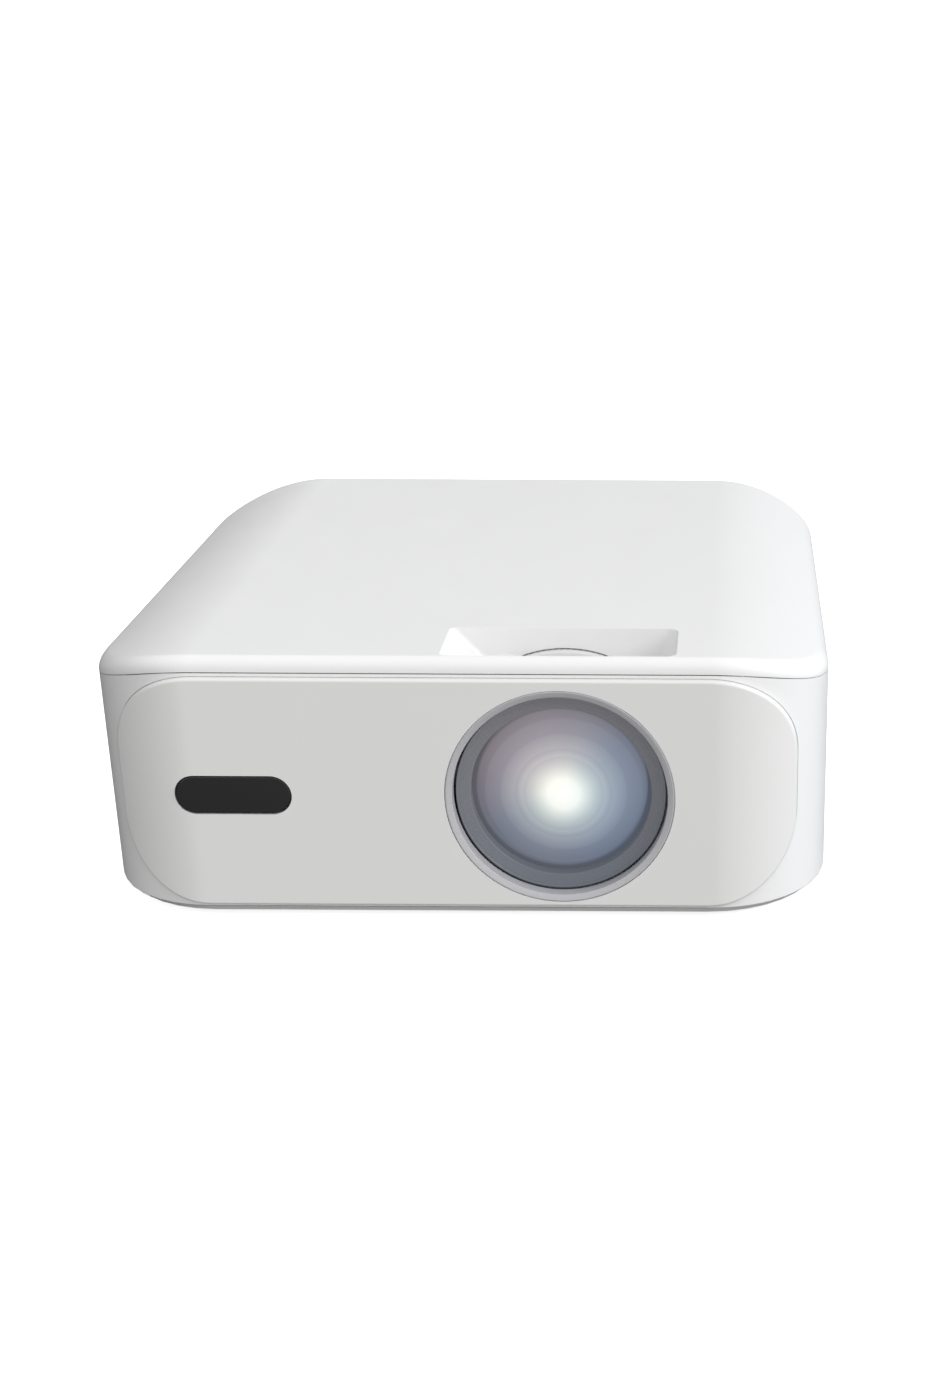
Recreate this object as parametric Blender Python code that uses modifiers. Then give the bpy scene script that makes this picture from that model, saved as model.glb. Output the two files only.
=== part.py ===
"""A home projector, modelled as the separate pieces it is assembled from.

Sizes and places below are in millimetres, and MM turns them into Blender's metres.
The object stands on z = 0 with its lens facing -Y. X runs to the right as seen from the front.
"""

import math

import bmesh
import bpy
from mathutils import Matrix, Vector

MM = 0.001

# Driving dimensions
WIDTH = 226.0
CASE_DEPTH = 210.0
CASE_HEIGHT = 83.0
FOOT_HEIGHT = 2.0
PANEL_PROUD = 1.8
CORNER_RADIUS = 36.0
WALL = 2.4
GAP = 0.3
COVER_LIP = 4.3
COVER_FILLET = 3.8
BASE_BAND = 2.0
CROWN_DROP = 9.5
CROWN_WIDTH = 37.0
LENS_X = 31.5
LENS_HEIGHT = 39.5
FOCUS_TRAVEL = 3.5
FOCUS_TURN = math.radians(35)

# Worked out from them
HALF = WIDTH / 2
BACK = (CASE_DEPTH + PANEL_PROUD) / 2
FRONT = BACK - CASE_DEPTH
FACE = -BACK
MIDDLE_Y = (FRONT + BACK) / 2
BOTTOM = FOOT_HEIGHT
TOP = BOTTOM + CASE_HEIGHT
FLOOR = BOTTOM + BASE_BAND
LENS_Z = BOTTOM + LENS_HEIGHT
CASE_LOW = BOTTOM + BASE_BAND + GAP
CASE_HIGH = TOP - COVER_LIP - GAP
INSIDE_BACK = BACK - WALL
CORNER_STEPS = 9

FINISHES = {
    "white_plastic": ((0.80, 0.80, 0.79), 0.32, 0.0),
    "panel_plastic": ((0.72, 0.72, 0.71), 0.38, 0.0),
    "trim_grey": ((0.55, 0.55, 0.57), 0.35, 0.0),
    "black_plastic": ((0.02, 0.02, 0.022), 0.45, 0.0),
    "ir_black": ((0.012, 0.012, 0.013), 0.12, 0.0),
    "glass": ((0.75, 0.82, 0.9), 0.03, 0.0),
    "aluminium": ((0.70, 0.71, 0.73), 0.35, 1.0),
    "steel": ((0.55, 0.55, 0.56), 0.3, 1.0),
    "brass": ((0.72, 0.55, 0.25), 0.3, 1.0),
    "rubber": ((0.03, 0.03, 0.03), 0.85, 0.0),
    "circuit_green": ((0.02, 0.16, 0.07), 0.5, 0.0),
    "phosphor": ((0.85, 0.62, 0.12), 0.5, 0.0),
    "foam_grey": ((0.12, 0.12, 0.12), 0.9, 0.0),
}


def clear_scene():
    for obj in list(bpy.data.objects):
        bpy.data.objects.remove(obj)


def collection(name):
    made = bpy.data.collections.new(name)
    bpy.context.scene.collection.children.link(made)
    return made


def finish(name):
    """The Principled material of one finish, made once."""
    if name in bpy.data.materials:
        return bpy.data.materials[name]
    colour, roughness, metallic = FINISHES[name]
    made = bpy.data.materials.new(name)
    made.use_nodes = True
    shader = made.node_tree.nodes["Principled BSDF"]
    shader.inputs["Base Color"].default_value = (*colour, 1.0)
    shader.inputs["Roughness"].default_value = roughness
    shader.inputs["Metallic"].default_value = metallic
    made.diffuse_color = (*colour, 1.0)
    return made


def new_object(name, bm, place=(0, 0, 0)):
    """An object from a bmesh in millimetres, with its origin at place."""
    bm.transform(Matrix.Scale(MM, 4) @ Matrix.Translation(-Vector(place)))
    bmesh.ops.recalc_face_normals(bm, faces=bm.faces)
    mesh = bpy.data.meshes.new(name)
    bm.to_mesh(mesh)
    bm.free()
    obj = bpy.data.objects.new(name, mesh)
    obj.location = Vector(place) * MM
    parts.objects.link(obj)
    return obj


def piece(obj, name, finish_name):
    """Names a finished sub-part, gives it its material and smooth round faces."""
    obj.name = name
    obj.data.name = name
    obj.data.materials.clear()
    obj.data.materials.append(finish(finish_name))
    obj.data.shade_smooth()
    obj.data.set_sharp_from_angle(angle=math.radians(35))
    return obj


def block(low, high):
    """A box between two corners."""
    low, high = Vector(low), Vector(high)
    bm = bmesh.new()
    bmesh.ops.create_cube(bm, size=1.0)
    size = high - low
    bmesh.ops.scale(bm, vec=size, verts=bm.verts)
    bmesh.ops.translate(bm, vec=(low + high) / 2, verts=bm.verts)
    return new_object("block", bm)


def round_edges(bm, edges, radius, steps):
    shape = {"offset_type": "OFFSET", "profile": 0.5, "affect": "EDGES"}
    bmesh.ops.bevel(bm, geom=edges, offset=radius, segments=steps, **shape)


def rounded_block(low, high, radius, axis=2, steps=CORNER_STEPS, taper=None, rim=0.0):
    """A box whose four edges along an axis are rounded.

    taper draws the low end in along X, at the left and at the right, and rim rounds the edge of the high end.
    """
    low, high = Vector(low), Vector(high)
    bm = bmesh.new()
    bmesh.ops.create_cube(bm, size=1.0)
    bmesh.ops.scale(bm, vec=high - low, verts=bm.verts)
    bmesh.ops.translate(bm, vec=(low + high) / 2, verts=bm.verts)
    for vert in bm.verts:
        if taper and vert.co[axis] < (low[axis] + high[axis]) / 2:
            vert.co.x += taper[0] if vert.co.x < (low.x + high.x) / 2 else -taper[1]
    upright = [e for e in bm.edges if abs((e.verts[0].co - e.verts[1].co)[axis]) > 1e-6]
    round_edges(bm, upright, radius, steps)
    if rim:
        edge = [e for e in bm.edges if all(abs(v.co[axis] - high[axis]) < 1e-4 for v in e.verts)]
        round_edges(bm, edge, rim, 4)
    return new_object("rounded_block", bm)


def outline_block(offset, low_z, high_z, rim=0.0):
    """The projector's plan outline, drawn in by an offset, between two heights."""
    low = (-HALF + offset, FRONT + offset, low_z)
    high = (HALF - offset, BACK - offset, high_z)
    return rounded_block(low, high, CORNER_RADIUS - offset, rim=rim)


def rod(centre, radius, start, end, axis=2, steps=24):
    """A cylinder along an axis from start to end, through a centre given on the other two."""
    bm = bmesh.new()
    bmesh.ops.create_cone(bm, cap_ends=True, segments=steps, radius1=radius, radius2=radius, depth=end - start)
    turn = (Matrix.Rotation(math.pi / 2, 4, "Y"), Matrix.Rotation(-math.pi / 2, 4, "X"), Matrix.Identity(4))
    bm.transform(turn[axis])
    place = list(centre)
    place.insert(axis, (start + end) / 2)
    bmesh.ops.translate(bm, vec=place, verts=bm.verts)
    return new_object("rod", bm)


def radial_rod(angle, y, radius, inner, outer):
    """A pin that points out from the lens axis at an angle from +X, at a place along the axis."""
    bm = bmesh.new()
    bmesh.ops.create_cone(bm, cap_ends=True, segments=12, radius1=radius, radius2=radius, depth=outer - inner)
    bmesh.ops.translate(bm, vec=(0, 0, (inner + outer) / 2), verts=bm.verts)
    bm.transform(Matrix.Rotation(math.pi / 2 - angle, 4, "Y"))
    bmesh.ops.translate(bm, vec=(LENS_X, y, LENS_Z), verts=bm.verts)
    return new_object("radial_rod", bm)


def turned(profile, centre=(LENS_X, LENS_Z), along_y=True, steps=40):
    """A turned piece from (radius, place along the axis) points, by a Screw modifier.

    A profile that starts and ends on the axis is a solid, and any other is a ring, which is closed.
    """
    solid = profile[0][0] == 0
    bm = bmesh.new()
    verts = [bm.verts.new((radius, 0, along)) for radius, along in profile]
    for first, second in zip(verts, verts[1:] + ([] if solid else verts[:1])):
        bm.edges.new((first, second))
    mesh = bpy.data.meshes.new("profile")
    bm.transform(Matrix.Scale(MM, 4))
    bm.to_mesh(mesh)
    bm.free()
    obj = bpy.data.objects.new("turned", mesh)
    parts.objects.link(obj)
    screw = obj.modifiers.new("turn", "SCREW")
    screw.steps = steps
    screw.render_steps = steps
    screw.use_merge_vertices = True
    screw.merge_threshold = 0.00001
    if along_y:
        place = Vector((centre[0], 0, centre[1])) * MM
        obj.matrix_world = Matrix.Translation(place) @ Matrix.Rotation(-math.pi / 2, 4, "X")
    else:
        obj.matrix_world = Matrix.Translation(Vector((centre[0], centre[1], 0)) * MM)
    return baked(obj)


def baked(obj):
    """The object with its modifiers and its place written into its mesh, closed and facing out."""
    bpy.context.view_layer.update()
    graph = bpy.context.evaluated_depsgraph_get()
    mesh = bpy.data.meshes.new_from_object(obj.evaluated_get(graph))
    mesh.transform(obj.matrix_world)
    bm = bmesh.new()
    bm.from_mesh(mesh)
    bmesh.ops.remove_doubles(bm, verts=bm.verts, dist=1e-6)
    bmesh.ops.recalc_face_normals(bm, faces=bm.faces)
    bm.to_mesh(mesh)
    bm.free()
    obj.modifiers.clear()
    obj.data = mesh
    obj.matrix_world = Matrix.Identity(4)
    return obj


def combine(target, operation, others):
    """Cuts other shapes from a target, joins them to it or keeps only what they share, and writes it in."""
    for other in others:
        modifier = target.modifiers.new(operation.lower(), "BOOLEAN")
        modifier.operation = operation
        modifier.object = other
        modifier.solver = "EXACT"
        parts.objects.unlink(other)
        cutters.objects.link(other)
        other.hide_render = True
        other.display_type = "WIRE"
    return baked(target)


def cut(target, *others):
    return combine(target, "DIFFERENCE", others)


def join(target, *others):
    return combine(target, "UNION", others)


def common(target, *others):
    return combine(target, "INTERSECT", others)


def placed(obj, centre, angle, axis, tilt=0.0):
    """Tilts a shape made round the origin about X, turns it about an axis and sets it at a centre."""
    lean = Matrix.Rotation(tilt, 4, "X")
    obj.data.transform(Matrix.Translation(Vector(centre) * MM) @ Matrix.Rotation(angle, 4, axis) @ lean)
    return obj


def set_origin(name, place):
    """Puts the origin of a finished piece on its joint's axis and leaves its shape where it is."""
    obj = parts.objects[name]
    obj.data.transform(Matrix.Translation(-Vector(place) * MM))
    obj.location = Vector(place) * MM


def crown(x):
    """How far the top falls below its middle at a place across the width."""
    inside = max(0.0, 1.0 - (HALF - abs(x)) / CROWN_WIDTH)
    return CROWN_DROP * inside**2


def crowned(obj, above):
    """Lowers what is above a height by the crown, after cutting the faces where the crown bends."""
    bm = bmesh.new()
    bm.from_mesh(obj.data)
    for step in range(1, CORNER_STEPS):
        reach = HALF - CORNER_RADIUS * (1 - math.sin(step * math.pi / 2 / CORNER_STEPS))
        for x in (-reach, reach):
            faces = [f for f in bm.faces if any(v.co.z > above * MM for v in f.verts)]
            verts = list({v for f in faces for v in f.verts})
            edges = list({e for f in faces for e in f.edges})
            geometry = verts + edges + faces
            bmesh.ops.bisect_plane(bm, geom=geometry, dist=1e-6, plane_co=(x * MM, 0, 0), plane_no=(1, 0, 0))
    for vert in bm.verts:
        if vert.co.z > above * MM:
            vert.co.z -= crown(vert.co.x / MM) * MM
    bmesh.ops.triangulate(bm, faces=bm.faces)
    bm.to_mesh(obj.data)
    bm.free()
    return obj


# Casing

RECESS_WIDTH = 70.0
RECESS_FRONT = FRONT + 3.8
RECESS_BACK = FRONT + 28.6
RECESS_DEPTH = 9.8
RECESS_SLOPES = (9.4, 3.0)  # how far its left and right ends lean in towards the floor
FOCUS_RING_RADIUS = 36.7
FOCUS_RING_FRONT = RECESS_BACK - 2.0
FOCUS_RING_BACK = FOCUS_RING_FRONT + 8.4
FOOT_PLACES = [(sx * 88.0, MIDDLE_Y + sy * 80.0) for sy in (-1, 1) for sx in (-1, 1)]
ADJUSTER = (-20.0, -84.0)
TRIPOD = (-22.0, -32.0)
VENT_ROWS = 7
VENT_PITCH = 5.6
PORTS = {  # place across and height of each opening in the back
    "hdmi": (-18.0, 49.0),
    "usb": (-38.0, 49.0),
    "audio": (-54.0, 48.6),
    "button": (-68.0, 49.0),
    "power": (-60.0, 20.0),
}
IR_X = -66.3
IR_Z = BOTTOM + 40.1


def recess_block(grow, low, high):
    """The finger recess over the focus ring: a trough whose ends slope in towards its floor."""
    lean_left, lean_right = (slope / RECESS_DEPTH for slope in RECESS_SLOPES)
    left = LENS_X - RECESS_WIDTH / 2 - grow - lean_left * (high - TOP)
    right = LENS_X + RECESS_WIDTH / 2 + grow + lean_right * (high - TOP)
    taper = (lean_left * (high - low), lean_right * (high - low))
    front = RECESS_FRONT - min(grow, 1.0)
    back = RECESS_BACK + grow
    return rounded_block((left, front, low), (right, back, high), 2.0, steps=4, taper=taper)


def ring_clearance():
    """The room that the focus ring turns in."""
    start = FOCUS_RING_FRONT - 0.6
    return rod((LENS_X, LENS_Z), FOCUS_RING_RADIUS + 0.6, start, FOCUS_RING_BACK + 5, axis=1, steps=64)


def top_cover():
    cover = outline_block(0, TOP - COVER_LIP, TOP, rim=COVER_FILLET)
    cover = cut(cover, outline_block(WALL - 0.2, TOP - COVER_LIP - 5, TOP - WALL + 0.2))
    floor = TOP - RECESS_DEPTH
    cover = join(cover, recess_block(1.5, floor - 1.4, TOP - 1.0))
    for x in (-72, 72):
        hook = block((x - 4, INSIDE_BACK - 2.4, TOP - 16), (x + 4, INSIDE_BACK - 0.7, TOP - 2))
        cover = join(cover, hook)
    cover = cut(cover, recess_block(0, floor, TOP + 4.0))
    cover = cut(cover, ring_clearance())
    return piece(crowned(cover, TOP - COVER_LIP - 0.2), "top_cover", "white_plastic")


def pill(x, z, width, height, start, end, steps=8):
    """A bar with round ends, lying across, through the front or the back."""
    low = (x - width / 2, start, z - height / 2)
    high = (x + width / 2, end, z + height / 2)
    return rounded_block(low, high, height / 2 - 0.001, axis=1, steps=steps)


def side_vents():
    """Two columns of level slots through both side walls."""
    found = []
    for row in range(VENT_ROWS):
        z = 24.0 + row * VENT_PITCH
        for column in range(2):
            y = MIDDLE_Y - 64 + column * 67
            for side in (-1, 1):
                low, high = sorted((side * (HALF - 6), side * (HALF + 4)))
                found.append(block((low, y, z), (high, y + 61, z + 2.4)))
    return found


def rear_vents():
    """Two columns of level slots behind the exhaust fan."""
    found = []
    for row in range(11):
        z = LENS_Z - 30.4 + row * VENT_PITCH
        for x in (LENS_X - 31, LENS_X + 1.5):
            found.append(block((x, BACK - 6, z), (x + 29.5, BACK + 3, z + 2.6)))
    return found


def panel_outline(grow, start, end):
    """The front panel's outline as seen from the front, extruded through the depth."""
    half = 103.0 + grow
    low = (-half, start, CASE_LOW + 1.0 - grow)
    high = (half, end, CASE_HIGH - 1.1 + grow)
    return rounded_block(low, high, 27.0 + grow, axis=1, steps=9)


def main_case():
    case = outline_block(0, CASE_LOW, CASE_HIGH)
    case = cut(case, outline_block(WALL, CASE_LOW - 5, CASE_HIGH + 5))
    rebate = cut(outline_block(-9, -10, TOP + 20), outline_block(0.9, -20, TOP + 30))
    rebate = common(rebate, panel_outline(GAP, FRONT - 12, FRONT + 30))
    case = cut(case, rebate)
    case = cut(case, rod((LENS_X, LENS_Z), 35.3, FRONT - 8, FRONT + 8, axis=1, steps=48))
    case = cut(case, pill(IR_X, IR_Z, 29.0, 8.0, FRONT - 8, FRONT + 8))
    for x, y in FOOT_PLACES:
        out_x, out_y = math.copysign(1, x), math.copysign(1, y)
        post = rod((x, y), 5.0, FLOOR + 5.3, 32.0, steps=16)
        rib = block((3.0, -1.0, FLOOR + 5.3), (18.9, 1.0, 30.0))
        placed(rib, (x, y, 0), math.atan2(out_y, out_x), "Z")
        case = join(case, join(post, rib))
        case = cut(case, rod((x, y), 1.8, FLOOR, 28.0, steps=12))
    case = cut(case, *side_vents(), *rear_vents())
    x, z = PORTS["hdmi"]
    case = cut(case, block((x - 8.2, BACK - 6, z - 3.6), (x + 8.2, BACK + 3, z + 3.6)))
    x, z = PORTS["usb"]
    case = cut(case, block((x - 7.8, BACK - 6, z - 4.1), (x + 7.8, BACK + 3, z + 4.1)))
    x, z = PORTS["audio"]
    case = cut(case, rod((x, z), 3.6, BACK - 6, BACK + 3, axis=1))
    x, z = PORTS["button"]
    case = cut(case, rod((x, z), 6.4, BACK - 6, BACK + 3, axis=1, steps=28))
    x, z = PORTS["power"]
    case = cut(case, block((x - 12.4, BACK - 6, z - 7.2), (x + 12.4, BACK + 3, z + 7.2)))
    return piece(crowned(case, CASE_HIGH - 0.2), "main_case", "white_plastic")


def base_cover():
    base = outline_block(0, BOTTOM, FLOOR)
    lip = outline_block(WALL + GAP, FLOOR - 0.8, FLOOR + 3.2)
    lip = cut(lip, outline_block(WALL + GAP + 1.4, FLOOR - 3, TOP))
    lip = cut(lip, *[rod(place, 7.0, FLOOR - 4, FLOOR + 9, steps=16) for place in FOOT_PLACES])
    lip = cut(lip, block((LENS_X - 42, FRONT, FLOOR), (LENS_X + 42, FRONT + 30, TOP)))
    base = join(base, lip)
    for place in FOOT_PLACES:
        base = join(base, rod(place, 5.5, FLOOR - 1, FLOOR + 5.0, steps=20))
        base = cut(base, rod(place, 7.3, BOTTOM - 2, BOTTOM + 0.8, steps=24))
        base = cut(base, rod(place, 3.1, BOTTOM - 2, FLOOR + 1.8, steps=16))
        base = cut(base, rod(place, 1.8, BOTTOM, FLOOR + 9, steps=12))
    base = join(base, rod(ADJUSTER, 14.4, BOTTOM + 0.2, BOTTOM + 4.4, steps=32))
    base = join(base, rod(ADJUSTER, 8.0, BOTTOM + 3, 17.0, steps=24))
    base = cut(base, rod(ADJUSTER, 12.7, BOTTOM - 2, BOTTOM + 2.6, steps=32))
    base = cut(base, rod(ADJUSTER, 5.3, BOTTOM + 1, 20.0, steps=20))
    base = join(base, rod(TRIPOD, 8.5, FLOOR - 1, 14.0, steps=24))
    base = cut(base, rod(TRIPOD, 5.3, BOTTOM - 2, 18.0, steps=20))
    base = cut(base, ring_clearance())
    slots = [block((-78 + i * 6.0, 6, BOTTOM - 2), (-75.4 + i * 6.0, 44, FLOOR + 2)) for i in range(8)]
    base = cut(base, *slots)
    return piece(base, "base_cover", "white_plastic")


def front_panel():
    panel = cut(outline_block(-PANEL_PROUD, -5, TOP + 10), outline_block(0.6, -20, TOP + 20))
    panel = common(panel, panel_outline(0, FACE - 12, FRONT + 30))
    panel = cut(panel, rod((LENS_X, LENS_Z), 34.8, FACE - 3, FRONT + 8, axis=1, steps=64))
    panel = cut(panel, pill(IR_X, IR_Z, 35.2, 12.6, FACE - 3, FRONT + 8))
    return piece(panel, "front_panel", "panel_plastic")


def ir_window():
    window = pill(IR_X, IR_Z, 34.6, 12.0, FACE + 0.15, FRONT + 0.6)
    return piece(window, "ir_window", "ir_black")


def ir_receiver():
    x, z = IR_X, IR_Z
    board = block((x - 11, FRONT + WALL + 5.6, z - 8), (x + 11, FRONT + WALL + 6.8, z + 8))
    eye = block((x - 3, FRONT + WALL + 1.6, z - 3.4), (x + 3, FRONT + WALL + 6, z + 3.4))
    return piece(join(board, eye), "ir_receiver", "circuit_green")


def lens_trim_ring():
    profile = [
        (32.3, FRONT + 2.2),
        (32.3, FACE + 1.2),
        (33.9, FACE),
        (34.5, FACE),
        (34.5, FRONT + 2.2),
    ]
    ring = turned(profile, steps=64)
    return piece(ring, "lens_trim_ring", "trim_grey")


def fasteners_and_feet():
    for number, (x, y) in enumerate(FOOT_PLACES, 1):
        foot = rod((x, y), 7.0, 0, BOTTOM + 0.5, steps=24)
        piece(foot, f"rubber_foot_{number}", "rubber")
        head = rod((x, y), 2.8, BOTTOM + 1.1, FLOOR + 1.5, steps=12)
        screw = join(rod((x, y), 1.5, FLOOR + 1, 26.0, steps=10), head)
        screw = cut(screw, block((x - 2, y - 0.4, BOTTOM), (x + 2, y + 0.4, BOTTOM + 2)))
        piece(screw, f"case_screw_{number}", "steel")


def adjuster_foot():
    wheel = rod(ADJUSTER, 12.0, BOTTOM - 0.3, BOTTOM + 2.2, steps=24)
    wheel = join(wheel, rod(ADJUSTER, 2.9, BOTTOM + 1, 25.0, steps=14))
    piece(wheel, "adjuster_screw", "black_plastic")
    piece(rod(ADJUSTER, 9.0, 0.3, BOTTOM - 0.6, steps=20), "adjuster_pad", "rubber")
    profile = [(3.3, 5.5), (5.0, 5.5), (5.0, 16.5), (3.3, 16.5)]
    piece(turned(profile, centre=ADJUSTER, along_y=False, steps=20), "adjuster_insert", "brass")
    profile = [(3.2, BOTTOM + 0.2), (5.0, BOTTOM + 0.2), (5.0, 13.5), (3.2, 13.5)]
    piece(turned(profile, centre=TRIPOD, along_y=False, steps=20), "tripod_bush", "brass")


# Projection lens

BARREL_FRONT = FRONT + 4.8
BARREL_BACK = -53.0
PIN_Y = -73.5
GUIDE_Y = -61.0
BARREL_RADIUS = 31.5
BARREL_BORE = 28.5
ELEMENT_RADIUS = 28.1
GROOVE = 2.2
MOUNT_BACK = -38.0


def helical_cutter():
    """The focus pin's path round the barrel, as a tube: the pin's turn sets how far the barrel slides."""
    curve = bpy.data.curves.new("groove", "CURVE")
    curve.dimensions = "3D"
    curve.bevel_depth = GROOVE * MM
    curve.bevel_resolution = 1
    curve.use_fill_caps = True
    spline = curve.splines.new("POLY")
    steps = 12
    spline.points.add(steps)
    for index in range(steps + 1):
        share = -1.08 + 2.16 * index / steps
        angle = math.pi + share * FOCUS_TURN
        y = PIN_Y + share * FOCUS_TRAVEL
        reach = BARREL_RADIUS + 0.2
        place = Vector((LENS_X + reach * math.cos(angle), y, LENS_Z - reach * math.sin(angle))) * MM
        spline.points[index].co = (*place, 1)
    obj = bpy.data.objects.new("groove", curve)
    parts.objects.link(obj)
    bpy.context.view_layer.update()
    mesh = bpy.data.meshes.new_from_object(obj.evaluated_get(bpy.context.evaluated_depsgraph_get()))
    bm = bmesh.new()
    bm.from_mesh(mesh)
    bmesh.ops.remove_doubles(bm, verts=bm.verts, dist=1e-6)
    bpy.data.objects.remove(obj)
    bm.transform(Matrix.Scale(1 / MM, 4))
    return new_object("groove", bm)


def lens_barrel():
    profile = [
        (BARREL_BORE, BARREL_FRONT),
        (BARREL_RADIUS, BARREL_FRONT),
        (BARREL_RADIUS, BARREL_BACK),
        (26.0, BARREL_BACK),
        (26.0, BARREL_BACK - 2.0),
        (BARREL_BORE, BARREL_BACK - 2.0),
    ]
    barrel = turned(profile)
    guide = rod((LENS_X, LENS_Z - BARREL_RADIUS), GROOVE, GUIDE_Y - 6.0, GUIDE_Y + 6.0, axis=1, steps=10)
    barrel = cut(barrel, helical_cutter(), guide)
    piece(barrel, "lens_barrel", "black_plastic")


def lens_elements():
    """Three glasses with spacers between them, held in the barrel by a threaded ring."""
    front = BARREL_FRONT - 2.8
    ring = [
        (31.6, front),
        (27.3, front + 1.6),
        (27.3, front + 4.4),
        (28.2, front + 4.4),
        (28.2, front + 2.4),
        (31.6, front + 1.0),
    ]
    piece(turned(ring, steps=48), "lens_retaining_ring", "black_plastic")
    seat = front + 4.7
    glasses = (
        ("front_lens", seat, 3.4, 3.0, 0.0),
        ("middle_lens", seat + 17.0, 6.0, -2.0, -1.6),
        ("rear_lens", seat + 34.8, 6.0, 1.2, 3.2),
    )
    end = None
    for name, start, edge, bulge_front, bulge_back in glasses:
        if end is not None:
            low, high = end + GAP, start - GAP
            spacer = turned([(26.8, low), (28.2, low), (28.2, high), (26.8, high)], steps=32)
            piece(spacer, name.replace("lens", "spacer"), "black_plastic")
        shares = (0, 1 / 3, 2 / 3, 1)
        curve_front = [(ELEMENT_RADIUS * share, start - bulge_front * (1 - share**2)) for share in shares]
        rear = start + edge
        curve_back = [(ELEMENT_RADIUS * share, rear + bulge_back * (1 - share**2)) for share in shares[::-1]]
        piece(turned(curve_front + curve_back, steps=36), name, "glass")
        end = start + edge


def focus_ring():
    profile = [
        (32.0, FOCUS_RING_FRONT),
        (FOCUS_RING_RADIUS, FOCUS_RING_FRONT),
        (FOCUS_RING_RADIUS, FOCUS_RING_BACK),
        (35.8, FOCUS_RING_BACK),
        (35.8, FOCUS_RING_BACK + 4.0),
        (34.4, FOCUS_RING_BACK + 4.0),
        (34.4, FOCUS_RING_BACK),
        (32.0, FOCUS_RING_BACK),
    ]
    ring = cut(turned(profile, steps=60), radial_rod(math.pi, PIN_Y, 1.8, 30, 40))
    piece(ring, "focus_ring", "trim_grey")
    piece(radial_rod(math.pi, PIN_Y, 1.5, 30.9, 35.6), "focus_pin", "steel")


def lens_mount():
    front = FOCUS_RING_BACK + 0.5
    tube = turned([(31.9, front), (34.0, front), (34.0, MOUNT_BACK - 2), (31.9, MOUNT_BACK - 2)], steps=48)
    flange = block((LENS_X - 40, MOUNT_BACK - 4, LENS_Z - 35), (LENS_X + 40, MOUNT_BACK, LENS_Z + 35))
    flange = cut(flange, rod((LENS_X, LENS_Z), 31.9, MOUNT_BACK - 9, MOUNT_BACK + 5, axis=1, steps=48))
    mount = cut(join(tube, flange), radial_rod(math.pi * 1.5, GUIDE_Y, 1.8, 31, 36))
    piece(mount, "lens_mount", "black_plastic")
    piece(radial_rod(math.pi * 1.5, GUIDE_Y, 1.5, 30.9, 34.6), "guide_pin", "steel")


# Light engine

def funnel(front, front_half, back, back_half, wall):
    """A four-sided shell, open at both ends, from one oblong to another along Y."""
    bm = bmesh.new()
    bmesh.ops.create_cube(bm, size=1.0)
    ends = [f for f in bm.faces if abs(f.normal.y) > 0.5]
    bmesh.ops.delete(bm, geom=ends, context="FACES_ONLY")
    for vert in bm.verts:
        half = back_half if vert.co.y > 0 else front_half
        vert.co.x = LENS_X + math.copysign(half[0], vert.co.x)
        vert.co.z = LENS_Z + math.copysign(half[1], vert.co.z)
        vert.co.y = back if vert.co.y > 0 else front
    obj = new_object("funnel", bm)
    solidify = obj.modifiers.new("wall", "SOLIDIFY")
    solidify.thickness = wall * MM
    solidify.offset = -1
    solidify.use_even_offset = True
    return baked(obj)


FRAME_START = 13.0
FRAME_END = 39.5
PLATE_HALF = (55.6, 32.6)


def plate(name, start, thick, finish_name, half=PLATE_HALF):
    low = (LENS_X - half[0], start, LENS_Z - half[1])
    high = (LENS_X + half[0], start + thick, LENS_Z + half[1])
    return piece(block(low, high), name, finish_name)


def light_engine():
    chamber = funnel(MOUNT_BACK + GAP, (35.0, 34.0), FRAME_START - 1.2, (57.5, 34.5), 1.6)
    piece(chamber, "projection_chamber", "black_plastic")
    frame = funnel(FRAME_START, (57.5, 34.5), FRAME_END, (57.5, 34.5), 1.6)
    slots = [block((LENS_X - 60, y, LENS_Z - 22), (LENS_X + 60, y + 3.4, LENS_Z + 22)) for y in (17.4, 24.8)]
    piece(cut(frame, *slots), "optics_frame", "black_plastic")
    plate("front_fresnel", FRAME_START + 1.4, 2.0, "glass")
    plate("lcd_panel", FRAME_START + 8.6, 2.4, "ir_black")
    plate("heat_glass", FRAME_START + 16.0, 1.6, "glass")
    plate("rear_fresnel", FRAME_START + 22.6, 2.0, "glass")
    cone = funnel(FRAME_END + GAP, (50.0, 30.0), 66.0, (10.0, 10.0), 1.0)
    piece(cone, "reflector_cone", "aluminium")
    plate("led_board", 66.9, 1.6, "aluminium", half=(22.0, 22.0))
    plate("led_chip", 65.4, 1.2, "phosphor", half=(8.2, 8.2))
    sink = block((LENS_X - 35, 68.8, LENS_Z - 34), (LENS_X + 35, 72.8, LENS_Z + 34))
    places = [LENS_X - 35 + index * 6.218 for index in range(12)]
    fins = [block((x, 72, LENS_Z - 34), (x + 1.6, 85.5, LENS_Z + 34)) for x in places]
    piece(join(sink, *fins), "led_heat_sink", "aluminium")


FAN_FRONT = 86.6
FAN_DEPTH = 15.0


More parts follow.
